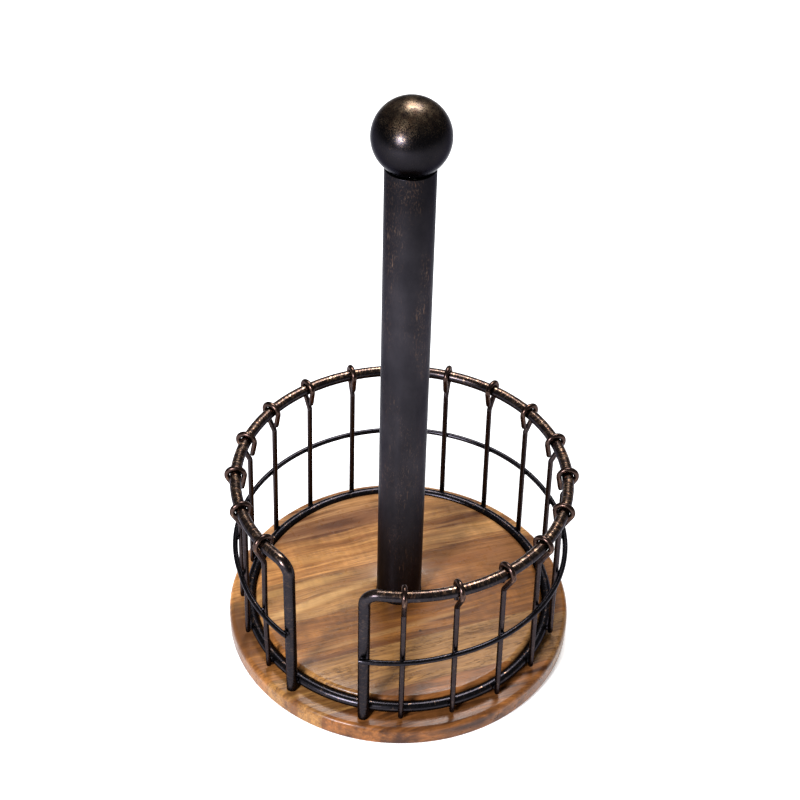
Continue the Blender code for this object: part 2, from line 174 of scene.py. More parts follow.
class Shader:
    """A new material and short ways to add nodes to it."""

    def __init__(self, name):
        self.material = bpy.data.materials.new(name)
        self.material.use_nodes = True
        self.tree = self.material.node_tree
        self.main = self.tree.nodes["Principled BSDF"]

    def node(self, kind, **settings):
        made = self.tree.nodes.new("ShaderNode" + kind)
        for key, value in settings.items():
            setattr(made, key, value)
        return made

    def put(self, socket, value):
        if isinstance(value, bpy.types.NodeSocket):
            self.tree.links.new(value, socket)
        elif isinstance(value, tuple) and len(value) == 3 and socket.type == "RGBA":
            socket.default_value = (*value, 1.0)
        else:
            socket.default_value = value

    def math(self, operation, *values):
        made = self.node("Math", operation=operation)
        for socket, value in zip(made.inputs, values):
            self.put(socket, value)
        return made.outputs[0]

    def dot(self, vector, direction):
        made = self.node("VectorMath", operation="DOT_PRODUCT")
        self.put(made.inputs[0], vector)
        made.inputs[1].default_value = direction
        return made.outputs["Value"]

    def combine(self, x, y, z):
        made = self.node("CombineXYZ")
        for socket, value in zip(made.inputs, (x, y, z)):
            self.put(socket, value)
        return made.outputs[0]

    def split(self, vector):
        made = self.node("SeparateXYZ")
        self.put(made.inputs[0], vector)
        return made.outputs

    def noise(self, vector, detail=2.0, roughness=0.5):
        made = self.node("TexNoise")
        self.put(made.inputs["Vector"], vector)
        made.inputs["Scale"].default_value = 1.0
        made.inputs["Detail"].default_value = detail
        made.inputs["Roughness"].default_value = roughness
        return made.outputs[0]

    def step(self, value, low, high, out_low=0.0, out_high=1.0):
        """A smooth step from out_low to out_high as value goes from low to high."""
        made = self.node("MapRange", interpolation_type="SMOOTHSTEP")
        names = ("Value", "From Min", "From Max", "To Min", "To Max")
        for key, given in zip(names, (value, low, high, out_low, out_high)):
            self.put(made.inputs[key], given)
        return made.outputs[0]

    def mix(self, factor, first, second, blend="MIX"):
        made = self.node("Mix", data_type="RGBA", blend_type=blend)
        self.put(made.inputs["Factor"], factor)
        self.put(made.inputs[6], first)
        self.put(made.inputs[7], second)
        return made.outputs[2]

    def ramp(self, value, stops, interpolation="LINEAR"):
        made = self.node("ValToRGB")
        made.color_ramp.interpolation = interpolation
        elements = made.color_ramp.elements
        while len(elements) < len(stops):
            elements.new(1.0)
        for element, (place, colour) in zip(elements, stops):
            element.position = place
            element.color = (*colour, 1.0) if isinstance(colour, tuple) else (colour,) * 3 + (1.0,)
        self.put(made.inputs[0], value)
        return made.outputs[0]

    def bump(self, height, distance, strength):
        made = self.node("Bump")
        made.inputs["Strength"].default_value = strength
        made.inputs["Distance"].default_value = distance
        self.put(made.inputs["Height"], height)
        self.put(self.main.inputs["Normal"], made.outputs[0])

    def finish(self, **sockets):
        for key, value in sockets.items():
            self.put(self.main.inputs[key.replace("_", " ").title()], value)
        return self.material


def srgb(red, green, blue):
    """A colour named by its 0 to 255 screen values, as linear light."""
    out = []
    for value in (red, green, blue):
        share = value / 255
        out.append(share / 12.92 if share <= 0.04045 else ((share + 0.055) / 1.055) ** 2.4)
    return tuple(out)


def object_place(shader):
    return shader.node("TexCoord").outputs["Object"]


def scaled(shader, vector, scale, offset=(0.0, 0.0, 0.0)):
    made = shader.node("VectorMath", operation="MULTIPLY_ADD")
    shader.put(made.inputs[0], vector)
    shader.put(made.inputs[1], scale)
    shader.put(made.inputs[2], offset)
    return made.outputs[0]


# ---------------------------------------------------------------- acacia

GRAIN_ANGLE = math.radians(45)
STAVE_WIDTH = 31.5 * MM
FIRST_JOINT = -70.2 * MM  # across the grain, from the board's centre
LIT_SHARE = (0.70, 0.64, 0.585)  # reflectance as a share of how bright each colour looks when lit


def wood(red, green, blue):
    return tuple(share * value for share, value in zip(LIT_SHARE, srgb(red, green, blue)))


STAVES = [
    # colour at the near end of the grain, at its far end, of its streaks; how streaky, how porous
    (wood(160, 104, 54), wood(160, 106, 58), wood(66, 38, 22), 0.95, 0.3),
    (wood(184, 138, 80), wood(176, 134, 84), wood(108, 68, 38), 0.8, 1.0),
    (wood(174, 120, 64), wood(166, 112, 58), wood(104, 62, 34), 0.8, 0.5),
    (wood(186, 140, 86), wood(174, 122, 74), wood(134, 86, 48), 0.85, 0.35),
    (wood(224, 164, 98), wood(228, 174, 112), wood(144, 90, 50), 0.85, 0.3),
    (wood(222, 172, 120), wood(218, 164, 106), wood(124, 76, 44), 0.95, 0.4),
    (wood(200, 148, 94), wood(184, 128, 80), wood(124, 78, 48), 0.7, 0.4),
]
FIGURE = [
    # middle along and across the grain, half length, half width, rise across per length, colour, strength
    (-18.0, 60.5, 62.0, 11.0, 0.04, wood(136, 90, 60), 0.9),
    (-19.0, 61.5, 16.0, 4.2, 0.02, wood(94, 58, 38), 0.8),
    (-24.0, 54.5, 26.0, 2.0, 0.07, wood(98, 60, 40), 0.6),
    (55.0, 44.0, 24.0, 1.2, 0.05, wood(112, 72, 44), 0.7),
    (60.0, 54.0, 24.0, 5.5, 0.0, wood(118, 78, 52), 0.5),
    (-45.0, 5.0, 44.0, 3.6, 0.17, wood(232, 190, 128), 0.55),
    (-60.0, -5.0, 30.0, 3.0, 0.05, wood(222, 178, 116), 0.2),
    (-52.0, 19.0, 40.0, 3.0, 0.06, wood(222, 178, 112), 0.5),
    (-42.0, -14.0, 36.0, 3.4, -0.05, wood(126, 80, 46), 0.5),
    (-30.0, -24.0, 46.0, 2.4, -0.08, wood(140, 92, 54), 0.6),
    (20.0, -20.0, 50.0, 2.6, 0.04, wood(138, 92, 56), 0.5),
    (-20.0, -30.0, 60.0, 2.2, 0.05, wood(204, 158, 100), 0.5),
    (-46.0, 38.0, 40.0, 3.4, -0.06, wood(210, 158, 96), 0.6),
    (-50.0, 29.0, 36.0, 2.2, 0.03, wood(158, 104, 58), 0.4),
    (45.0, 12.0, 40.0, 4.0, -0.04, wood(166, 112, 68), 0.6),
    (30.0, -62.0, 50.0, 4.0, 0.06, wood(176, 134, 86), 0.5),
    (-84.0, -56.0, 20.0, 3.6, 0.0, wood(116, 74, 40), 0.85),
    (-95.0, 3.0, 14.0, 28.0, 0.0, wood(112, 74, 46), 0.95),
]
DOT_KNOT = (1.0, -34.6)  # along and across the grain


def make_acacia():
    s = Shader("acacia")
    place = object_place(s)
    along = s.dot(place, (math.cos(GRAIN_ANGLE), math.sin(GRAIN_ANGLE), 0.0))
    across = s.dot(place, (-math.sin(GRAIN_ANGLE), math.cos(GRAIN_ANGLE), 0.0))
    height = s.split(place)[2]

    position = s.math("DIVIDE", s.math("SUBTRACT", across, FIRST_JOINT - STAVE_WIDTH), STAVE_WIDTH)
    index = s.math("FLOOR", position)
    within = s.math("FRACT", position)
    shift = s.node("TexWhiteNoise", noise_dimensions="1D")
    s.put(shift.inputs["W"], index)
    shift_colour = s.split(shift.outputs["Color"])
    share = s.math("DIVIDE", s.math("ADD", index, 0.5), float(len(STAVES)))

    def per_stave(column):
        stops = [(i / len(STAVES), stave[column]) for i, stave in enumerate(STAVES)]
        return s.ramp(share, stops, "CONSTANT")

    # grain space: stretched along the stave, offset for each one, gently bent
    u = s.math("ADD", along, s.math("MULTIPLY", shift_colour[0], 3.0))
    v = s.math("ADD", across, s.math("MULTIPLY", shift_colour[1], 2.0))
    bend = s.noise(s.combine(s.math("MULTIPLY", u, 14.0), s.math("MULTIPLY", v, 26.0), height), 2.0)
    bent = s.math("ADD", v, s.math("MULTIPLY", s.math("SUBTRACT", bend, 0.5), 0.012))

    def grain(along_scale, across_scale, detail=3.0, roughness=0.55):
        vector = s.combine(
            s.math("MULTIPLY", u, along_scale),
            s.math("MULTIPLY", bent, across_scale),
            s.math("MULTIPLY", height, across_scale * 0.6),
        )
        return s.noise(vector, detail, roughness)

    # the colour of each stave drifts along it
    drift = s.math("ADD", along, s.math("MULTIPLY", s.math("SUBTRACT", grain(9.0, 70.0), 0.5), 0.16))
    colour = s.mix(s.step(drift, -0.045, 0.045), per_stave(0), per_stave(1))
    streak_colour, streaks, pores = per_stave(2), per_stave(3), per_stave(4)

    # broad streaks, medium streaks, fibres
    broad = s.step(grain(9.0, 110.0, 3.0, 0.6), 0.47, 0.68)
    colour = s.mix(s.math("MULTIPLY", broad, streaks), colour, streak_colour)
    medium = s.step(grain(16.0, 330.0, 4.0, 0.65), 0.42, 0.66)
    colour = s.mix(s.math("MULTIPLY", medium, 0.55), colour, streak_colour)
    fibre = grain(45.0, 1100.0, 3.0, 0.65)
    colour = s.mix(1.0, colour, s.ramp(fibre, [(0.3, 0.60), (0.7, 1.22)]), "MULTIPLY")

    # figure of its own at fixed places
    frayed = s.math("MULTIPLY", s.math("SUBTRACT", grain(24.0, 260.0, 3.0, 0.6), 0.5), 1.7)
    for middle_u, middle_v, half_u, half_v, rise, tint, strength in FIGURE:
        off_u = s.math("DIVIDE", s.math("SUBTRACT", along, middle_u * MM), half_u * MM)
        slope = s.math("MULTIPLY", s.math("SUBTRACT", along, middle_u * MM), rise)
        off_v = s.math("SUBTRACT", s.math("SUBTRACT", across, middle_v * MM), slope)
        off_v = s.math("DIVIDE", off_v, half_v * MM)
        apart = s.math("ADD", s.math("MULTIPLY", off_u, off_u), s.math("MULTIPLY", off_v, off_v))
        spot = s.step(s.math("ADD", s.math("SQRT", apart), frayed), 0.35, 1.15, strength, 0.0)
        colour = s.mix(spot, colour, tint)

    # short open pores, and one dot knot
    pore_noise = grain(230.0, 2100.0, 2.0, 0.55)
    patch = s.step(grain(30.0, 160.0, 2.0), 0.36, 0.60)
    pore = s.math("MULTIPLY", s.step(pore_noise, 0.53, 0.62), s.math("MULTIPLY", pores, patch))
    colour = s.mix(s.math("MULTIPLY", pore, 0.8), colour, wood(84, 54, 32))
    knot_u = s.math("SUBTRACT", along, DOT_KNOT[0] * MM)
    knot_v = s.math("SUBTRACT", across, DOT_KNOT[1] * MM)
    knot_place = s.combine(knot_u, knot_v, 0.0)
    knot_away = s.node("VectorMath", operation="LENGTH")
    s.put(knot_away.inputs[0], knot_place)
    knot = s.step(knot_away.outputs["Value"], 0.3 * MM, 1.3 * MM, 0.8, 0.0)
    colour = s.mix(knot, colour, wood(50, 32, 22))

    # ripples of figure across the grain, in patches
    rippled = s.combine(s.math("MULTIPLY", u, 230.0), s.math("MULTIPLY", v, 60.0), height)
    ripple = s.ramp(s.noise(rippled, 2.0, 0.5), [(0.3, 0.78), (0.7, 1.1)])
    patchy = s.step(grain(14.0, 40.0, 2.0), 0.42, 0.62)
    colour = s.mix(patchy, colour, s.mix(1.0, colour, ripple, "MULTIPLY"))

    # glue lines
    edge = s.math("ABSOLUTE", s.math("SUBTRACT", within, 0.5))
    glue = s.step(edge, 0.490, 0.499)
    colour = s.mix(s.math("MULTIPLY", glue, 0.35), colour, wood(84, 52, 34))

    roughness = s.step(s.noise(scaled(s, place, (260.0, 260.0, 260.0)), 2.0), 0.2, 0.8, 0.25, 0.36)
    s.bump(s.math("SUBTRACT", s.math("MULTIPLY", fibre, 0.6), pore), 0.12 * MM, 0.6)
    s.main.inputs["Specular IOR Level"].default_value = 0.14
    s.main.inputs["Coat Weight"].default_value = 0.08
    s.main.inputs["Coat Roughness"].default_value = 0.12
    return s.finish(base_color=colour, roughness=roughness)


# ---------------------------------------------------------------- metals

WORN_COPPER = ((0.34, 0.17, 0.095), (0.72, 0.46, 0.29))  # a darker and a paler tone of each
WORN_BRASS = ((0.36, 0.20, 0.10), (0.74, 0.52, 0.31))
SLATE = ((0.020, 0.0185, 0.0225), (0.033, 0.030, 0.0355))
UMBER = (0.100, 0.054, 0.038)
EDGE_TINT = (0.50, 0.50, 0.52)  # how much of the grazing reflection the dark coat keeps
BALL_WEAR_AND_HIGHLIGHT = (0.095, -0.833, 0.545)  # direction of a worn patch of bare brass set where the front lamp's highlight falls: wear and painted highlight
POST_PAINTED_SHADE_LENGTH = 100.0 * MM  # how far down from its top the post is darker, a painted shade


def rubbed(
    s, place, mask, rough, shade, warmth=0.0, relief=0.03 * MM, metal=WORN_COPPER, worn_rough=0.0
):
    """A dark satin coat over copper-coloured metal that shows where mask is 1.

    rough is the least and greatest roughness of the coat, and worn_rough what the bare metal adds;
    shade darkens the coat, evenly on the wires and as painted shade on the post's top and the ball's
    lower half; warmth browns it; relief is the depth of its grit.
    """
    mottle = s.noise(scaled(s, place, (70.0, 70.0, 45.0)), 3.0, 0.6)
    coat = s.mix(warmth, s.ramp(mottle, [(0.3, SLATE[0]), (0.7, SLATE[1])]), UMBER)
    # darkening by shade: an even tone on the wires, painted shade on the post's top and the ball's lower
    # half
    coat = s.mix(1.0, coat, s.combine(shade, shade, shade), "MULTIPLY")
    grit = s.noise(scaled(s, place, (900.0, 900.0, 900.0)), 3.0, 0.6)
    tone = s.noise(scaled(s, place, (340.0, 340.0, 340.0)), 2.0)
    copper = s.ramp(tone, [(0.35, metal[0]), (0.65, metal[1])])
    colour = s.mix(mask, coat, copper)
    s.put(s.main.inputs["Specular Tint"], s.mix(mask, EDGE_TINT, (1.0, 1.0, 1.0)))
    roughness = s.step(grit, 0.25, 0.75, *rough)
    roughness = s.math("ADD", roughness, s.math("MULTIPLY", mask, worn_rough))
    s.bump(s.math("SUBTRACT", grit, mask), relief, 0.4)
    return s.finish(base_color=colour, roughness=roughness, metallic=1.0)


def make_post_metal():
    """Fine faint flecks and scratches that run up the post in drifts; its top is darker, a painted shade.
    """
    s = Shader("black_bronze_post")
    place = object_place(s)
    fleck = s.noise(scaled(s, place, (1500.0, 1500.0, 620.0)), 3.0, 0.7)
    scratch = s.noise(scaled(s, place, (900.0, 900.0, 110.0), (8.0, 3.0, 1.0)), 2.0, 0.6)
    patch = s.noise(scaled(s, place, (95.0, 95.0, 24.0), (3.0, 1.0, 0.0)), 4.0, 0.6)
    there = s.step(patch, 0.42, 0.66)
    mask = s.math("MULTIPLY", s.step(fleck, 0.50, 0.74), s.math("MULTIPLY", there, 0.10))
    lines = s.math("MULTIPLY", s.step(scratch, 0.62, 0.72), s.math("MULTIPLY", there, 0.12))
    # painted shade: the coat darkens over the post's top length
    shade = s.step(s.split(place)[2], POST_HIGH.z - POST_PAINTED_SHADE_LENGTH, POST_HIGH.z, 0.92, 0.36)
    return rubbed(s, place, s.math("ADD", mask, lines), (0.32, 0.42), shade)


def make_ball_metal():
    """Brushed flecks in clouds, thickest round the crown of the ball and in a worn patch set where the
    front lamp's highlight falls, as painted highlight; the lower half is darker, a painted shade.
    """
    s = Shader("black_bronze_ball")
    place = object_place(s)
    rise = s.split(place)[2]
    crown = s.step(rise, BALL_CENTRE + 5 * MM, BALL_CENTRE + 17 * MM)
    upper = s.step(rise, BALL_CENTRE - 12 * MM, BALL_CENTRE + 8 * MM)
    fleck = s.noise(scaled(s, place, (2100.0, 1500.0, 1900.0), (5.0, 2.0, 0.0)), 4.0, 0.75)
    patch = s.noise(scaled(s, place, (150.0, 150.0, 150.0), (2.0, 0.0, 7.0)), 4.0, 0.65)
    # a worn patch where the front lamp's highlight falls on the ball: bare brass flecks, partly wear and
    # partly painted highlight
    facing_wear_and_highlight = s.dot(place, BALL_WEAR_AND_HIGHLIGHT)
    level = BALL_CENTRE * BALL_WEAR_AND_HIGHLIGHT[2]
    wear_and_highlight = s.step(facing_wear_and_highlight, level + 0.87 * BALL_RADIUS, level + 0.99 * BALL_RADIUS)
    threshold = s.math("SUBTRACT", 0.58, s.math("MULTIPLY", crown, 0.16))
    worn = s.step(s.math("SUBTRACT", fleck, threshold), -0.05, 0.12)
    share = s.math("ADD", s.math("MULTIPLY", crown, 0.17), s.math("MULTIPLY", upper, 0.04))
    share = s.math("MULTIPLY", share, s.step(patch, 0.34, 0.60, 0.45, 1.0))
    share = s.math("ADD", share, s.math("MULTIPLY", wear_and_highlight, 0.14))
    # painted shade: the coat is darker on the lower half of the ball
    shade = s.step(rise, BALL_CENTRE - 12 * MM, BALL_CENTRE + 6 * MM, 0.24, 0.50)
    mask = s.math("MULTIPLY", worn, share)
    rough = (0.22, 0.30)
    return rubbed(s, place, mask, rough, shade, relief=0.035 * MM, metal=WORN_BRASS, worn_rough=0.3)


def make_wire_metal(name, stroke, sparse, top_only, strength, film_and_painted_sheen=0.0, hooked=False):
    """Rods and wires: short strokes worn through the coat, running round the wire.

    stroke is the frequency along and round the wire; sparse is the noise level above which coat is
    worn off; top_only says how much of the wear keeps to the upper side; strength is how bare a
    stroke is, and film how bare the coat is between them on the upper side, partly worn metal and
    partly a painted sheen of the top light; a hooked wire wears most where it passes over the rail.
    """
    s = Shader(name)
    place = object_place(s)
    wire = s.node("UVMap", uv_map="wire").outputs[0]
    along, around_share, _ = s.split(wire)
    turn = s.math("MULTIPLY", around_share, math.tau)
    ring_x, ring_y = s.math("COSINE", turn), s.math("SINE", turn)
    skew = s.math("ADD", along, s.math("MULTIPLY", ring_x, 0.6 * MM))
    vector = s.combine(
        s.math("MULTIPLY", skew, stroke[0]),
        s.math("MULTIPLY", ring_x, stroke[1]),
        s.math("MULTIPLY", ring_y, stroke[1]),
    )
    strokes = s.noise(vector, 3.0, 0.7)
    patch = s.noise(scaled(s, place, (75.0, 75.0, 75.0)), 3.0, 0.6)
    normal = s.node("NewGeometry").outputs["Normal"]
    facing_up = s.step(s.split(normal)[2], 0.40, 0.95, 1.0 - top_only, 1.0)
    worn = s.step(strokes, sparse, sparse + 0.22)
    amount = s.math("MULTIPLY", worn, s.step(patch, 0.32, 0.56, 0.2, 1.0))
    warmth = 0.0
    if hooked:
        at_hook = s.step(s.split(place)[2], RAIL_HEIGHT - 9 * MM, RAIL_HEIGHT - 2 * MM, 0.25, 1.0)
        amount = s.math("MULTIPLY", amount, at_hook)
        warmth = s.math("MULTIPLY", at_hook, 0.5)
    # an even share of bare copper on the upper side between the strokes: partly wear, partly a painted
    # sheen of the top light
    amount = s.math("ADD", s.math("MULTIPLY", amount, strength), film_and_painted_sheen)
    mask = s.math("MULTIPLY", amount, facing_up)
    return rubbed(s, place, mask, (0.22, 0.32), 0.75, warmth, relief=0.01 * MM)


def make_zinc():
    """Zinc plate, brushed round the axis."""
    s = Shader("zinc_steel")
    place = object_place(s)
    brushed = s.noise(scaled(s, place, (300.0, 300.0, 2600.0)), 3.0, 0.6)
    colour = s.ramp(brushed, [(0.3, (0.42, 0.42, 0.40)), (0.7, (0.60, 0.60, 0.56))])
    s.bump(brushed, 0.03 * MM, 0.4)
    roughness = s.step(brushed, 0.3, 0.7, 0.26, 0.42)
    return s.finish(base_color=colour, roughness=roughness, metallic=1.0)


def make_rubber():
    s = Shader("rubber")
    place = object_place(s)
    grain = s.noise(scaled(s, place, (1500.0, 1500.0, 1500.0)), 3.0, 0.6)
    colour = s.ramp(grain, [(0.3, (0.012, 0.012, 0.012)), (0.7, (0.03, 0.03, 0.029))])
    s.bump(grain, 0.05 * MM, 0.6)
    roughness = s.step(grain, 0.2, 0.8, 0.65, 0.85)
    return s.finish(base_color=colour, roughness=roughness)


ACACIA = make_acacia()
POST_METAL = make_post_metal()
BALL_METAL = make_ball_metal()
RAIL_METAL = make_wire_metal(
    "black_bronze_rail", (700.0, 1.3), sparse=0.48, top_only=0.94, strength=0.95, film_and_painted_sheen=0.07
)
RING_METAL = make_wire_metal(
    "black_bronze_ring", (520.0, 1.6), sparse=0.57, top_only=0.7, strength=0.75
)
RIB_METAL = make_wire_metal(
    "black_bronze_rib", (500.0, 1.6), sparse=0.50, top_only=0.4, strength=0.45, film_and_painted_sheen=0.01, hooked=True
)
BELT_METAL = make_wire_metal(
    "black_bronze_belt", (500.0, 1.6), sparse=0.60, top_only=0.6, strength=0.4
)
ZINC = make_zinc()
RUBBER = make_rubber()

# ---------------------------------------------------------------- mesh helpers


def around(radius, angle, height):
    """The point at this angle from -Y towards +X, in degrees."""
    turn = math.radians(angle)
    return Vector((radius * math.sin(turn), -radius * math.cos(turn), height))


def arc(centre, radius, start, end, steps):
    """Flat points from one angle to another, in degrees."""
    points = []
    for i in range(steps + 1):
        turn = math.radians(start + (end - start) * i / steps)
        points.append((centre[0] + radius * math.cos(turn), centre[1] + radius * math.sin(turn)))
    return points


def fillet(corners, radius, steps):
    """A path of vectors with each inner corner turned into an arc."""
    path = [corners[0]]
    for before, corner, after in zip(corners, corners[1:], corners[2:]):
        back, ahead = (before - corner).normalized(), (after - corner).normalized()
        half = back.angle(ahead) / 2
        centre = corner + (back + ahead).normalized() * radius / math.sin(half)
        start = corner + back * radius / math.tan(half) - centre
        end = corner + ahead * radius / math.tan(half) - centre
        for i in range(steps + 1):
            path.append(centre + start.slerp(end, i / steps) * radius)
    path.append(corners[-1])
    return path


def finish_piece(name, mesh, material, body, stands_for):
    mesh.shade_smooth()
    mesh.set_sharp_from_angle(angle=SMOOTH_ANGLE)
    piece = bpy.data.objects.new(name, mesh)
    scene.collection.objects.link(piece)
    mesh.materials.append(material)
    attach(piece, body)
    if stands_for:
        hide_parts(*stands_for)


def to_mesh(shape, name):
    bmesh.ops.recalc_face_normals(shape, faces=shape.faces)
    mesh = bpy.data.meshes.new(name)
    shape.to_mesh(mesh)
    shape.free()
    return mesh


def circle_of_verts(shape, radius, height, steps):
    turns = [math.tau * i / steps for i in range(steps)]
    return [shape.verts.new((radius * math.cos(turn), radius * math.sin(turn), height)) for turn in turns]


def lathe(name, profile, steps, closed=False):
    """A turned mesh from (radius, height) points that run down its outer side."""
    shape = bmesh.new()
    rings = []
    for radius, height in profile:
        on_axis = radius < NO_RADIUS
        rings.append(circle_of_verts(shape, radius, height, 1 if on_axis else steps))
    pairs = list(zip(rings, rings[1:]))
    if closed:
        pairs.append((rings[-1], rings[0]))
    for upper, lower in pairs:
        for i in range(steps):
            j = (i + 1) % steps
            down = [upper[i % len(upper)], lower[i % len(lower)]]
            back_up = [lower[j % len(lower)], upper[j % len(upper)]]
            unique = list(dict.fromkeys(down + back_up))
            if len(unique) > 2:
                shape.faces.new(unique)
    return to_mesh(shape, name)


def tube(name, path, radius, sides, closed=False, shares=None):
    """A round tube along a path, with its length (m) and share of a turn in the UV map "wire"."""
    shares = shares or [1.0] * len(path)
    count = len(path)
    shape = bmesh.new()
    layer = shape.loops.layers.uv.new("wire")
    tangents = []
    for i in range(count):
        before = path[i - 1] if i or closed else path[0]
        after = path[(i + 1) % count] if i + 1 < count or closed else path[-1]
        tangents.append((after - before).normalized())
    side = tangents[0].orthogonal().normalized()
    up = Vector((0.0, 0.0, 1.0))
    if abs(tangents[0].dot(up)) < 0.9:
        side = (up - tangents[0] * tangents[0].dot(up)).normalized()
    rings, lengths = [], [0.0]
    for i, (point, tangent) in enumerate(zip(path, tangents)):
        if i:
            side = (side - tangent * side.dot(tangent)).normalized()
            lengths.append(lengths[-1] + (point - path[i - 1]).length)
        other = tangent.cross(side)
        ring = []
        for k in range(sides):
            turn = math.tau * k / sides
            offset = (side * math.cos(turn) + other * math.sin(turn)) * radius * shares[i]
            ring.append(shape.verts.new(point + offset))
        rings.append(ring)
    spans = count if closed else count - 1
    lengths.append(lengths[-1] + (path[0] - path[-1]).length)
    for i in range(spans):
        first, second = rings[i], rings[(i + 1) % count]
        for k in range(sides):
            m = (k + 1) % sides
            face = shape.faces.new((first[k], first[m], second[m], second[k]))
            corners = ((i, k), (i, k + 1), (i + 1, k + 1), (i + 1, k))
            for loop, (a, b) in zip(face.loops, corners):
                loop[layer].uv = (lengths[a], b / sides)
    if not closed:
        shape.faces.new(list(reversed(rings[0])))
        shape.faces.new(rings[-1])
    return to_mesh(shape, name)


def with_round_ends(path, radius, steps=5):
    """The path with half-round ends, and every point's share of the radius."""
    caps = []
    for i in range(steps):
        risen = CAP_SWEEP * i / steps
        back = radius * (1 - math.sin(math.radians(90 - CAP_SWEEP + risen)))
        caps.append((back, math.cos(math.radians(CAP_SWEEP - risen))))
    head = [(path[0] + (path[1] - path[0]).normalized() * back, share) for back, share in caps]
    tail = [(path[-1] + (path[-2] - path[-1]).normalized() * back, share) for back, share in caps]
    first = path[0] + (path[1] - path[0]).normalized() * radius
    last = path[-1] + (path[-2] - path[-1]).normalized() * radius
    points = head + [(first, 1.0)] + [(p, 1.0) for p in path[1:-1]] + [(last, 1.0)] + tail[::-1]
    return [point for point, _ in points], [share for _, share in points]


def blob(centre, size, seed, spin):
    """A small lumpy drop of weld metal."""
    shape = bmesh.new()
    bmesh.ops.create_icosphere(shape, subdivisions=2, radius=1.0)
    turn = Matrix.Rotation(spin, 3, "Z")
    for vert in shape.verts:
        lump = 1.0 + WELD_LUMPS * noise.noise(vert.co * 1.7 + Vector((seed * 3.1, seed, 0.0)))
        vert.co = centre + turn @ (vert.co * Vector(size)) * lump
    return shape


def joined(name, shapes):
    mesh = bpy.data.meshes.new(name)
    whole = bmesh.new()
    for shape in shapes:
        part = bpy.data.meshes.new("part")
        shape.to_mesh(part)
        shape.free()
        whole.from_mesh(part)
        bpy.data.meshes.remove(part)
    whole.to_mesh(mesh)
    whole.free()
    return mesh


# ---------------------------------------------------------------- stand


def make_board():
    recess_floor = PLATEAU_TOP - POST_RECESS_DEPTH
    recess_radius = TUBE_RADIUS + GAP
    bore = ROD_RADIUS + GAP
    nut_ceiling = BOARD_BOTTOM + NUT_RECESS_DEPTH
    edge, low_rounding = RECESS_EDGE, UNDERSIDE_ROUNDING
    top_corner = (PLATEAU_RADIUS - BOARD_ROUNDING, PLATEAU_TOP - BOARD_ROUNDING)
    inner_corner = (PLATEAU_RADIUS + LEDGE_FILLET, LEDGE_TOP + LEDGE_FILLET)
    ledge_corner = (BOARD_RADIUS - BOARD_ROUNDING, LEDGE_TOP - BOARD_ROUNDING)
    low_corner = (BOARD_RADIUS - low_rounding, BOARD_BOTTOM + low_rounding)
    profile = [(bore, recess_floor), (recess_radius, recess_floor), (recess_radius, PLATEAU_TOP - edge)]
    profile += [(recess_radius + edge * 0.3, PLATEAU_TOP - edge * 0.3), (recess_radius + edge, PLATEAU_TOP)]
    profile += [(radius, PLATEAU_TOP) for radius in PLATEAU_LOOPS]
    profile += arc(top_corner, BOARD_ROUNDING, 90, 0, 10)
    profile += arc(inner_corner, LEDGE_FILLET, 180, 270, 4)
    profile += arc(ledge_corner, BOARD_ROUNDING, 90, 0, 12)
    profile += arc(low_corner, low_rounding, 0, -90, 6)
    profile += [(radius, BOARD_BOTTOM) for radius in UNDERSIDE_LOOPS]
    profile += [(NUT_RECESS_RADIUS + edge, BOARD_BOTTOM), (NUT_RECESS_RADIUS, BOARD_BOTTOM + edge)]
    profile += [(NUT_RECESS_RADIUS, nut_ceiling), (bore, nut_ceiling)]
    mesh = lathe("acacia_board", profile, BOARD_STEPS, closed=True)
    finish_piece("acacia_board", mesh, ACACIA, "stand", ["base_board"])


def make_feet():
    """Turned pads, a little hollow underneath."""
    profile = [(0.0, FOOT_HIGH.z), (FOOT_RADIUS, FOOT_HIGH.z)]
    profile += arc((FOOT_RADIUS - FOOT_ROUNDING, FOOT_ROUNDING), FOOT_ROUNDING, 0, -90, 4)
    profile += [(FOOT_RADIUS * 0.72, 0.0), (FOOT_RADIUS * 0.62, FOOT_HOLLOW), (0.0, FOOT_HOLLOW)]
    for number in range(4):
        name = f"foot_pad_{number + 1}"
        mesh = lathe(name, profile, FOOT_STEPS)
        mesh.transform(Matrix.Translation(around(FOOT_CIRCLE_RADIUS, 45 + 90 * number, 0.0)))
        finish_piece(name, mesh, RUBBER, "stand", [f"rubber_foot_{number + 1}"])


def make_post():
    inner = TUBE_RADIUS - TUBE_WALL
    profile = [(inner, POST_HIGH.z - TUBE_LIP), (inner + TUBE_LIP * 0.3, POST_HIGH.z)]
    profile += arc((TUBE_RADIUS - TUBE_LIP, POST_HIGH.z - TUBE_LIP), TUBE_LIP, 90, 0, 5)
    profile += [(TUBE_RADIUS, height) for height in POST_LOOPS]
    profile += [(TUBE_RADIUS, POST_LOW.z), (inner, POST_LOW.z)]
    mesh = lathe("post_shell", profile, POST_STEPS, closed=True)
    finish_piece("post_shell", mesh, POST_METAL, "stand", ["post_tube"])


def make_ball():
    """A hollow ball, open underneath for the insert."""
    opening = INSERT_RADIUS + GAP
    inner = BALL_RADIUS - BALL_WALL
    outer_end = -math.degrees(math.acos(opening / BALL_RADIUS))
    inner_end = -math.degrees(math.acos(opening / inner))
    profile = arc((0.0, BALL_CENTRE), BALL_RADIUS, 90, outer_end, 60)
    profile += arc((0.0, BALL_CENTRE), inner, inner_end, 90, 30)
    mesh = lathe("ball_shell", profile, BALL_STEPS)
    finish_piece("ball_shell", mesh, BALL_METAL, "finial", ["finial_ball"])


def thread_profile(low, high, radius):
    """The outer side of a thread as rings, from high to low."""
    points = []
    turns = int((high - low) / THREAD_PITCH)
    for i in range(turns):
        top = high - i * THREAD_PITCH
        points += [(radius, top), (radius, top - 0.2 * THREAD_PITCH)]
        points += [(radius - THREAD_DEPTH, top - 0.6 * THREAD_PITCH)]
    return points


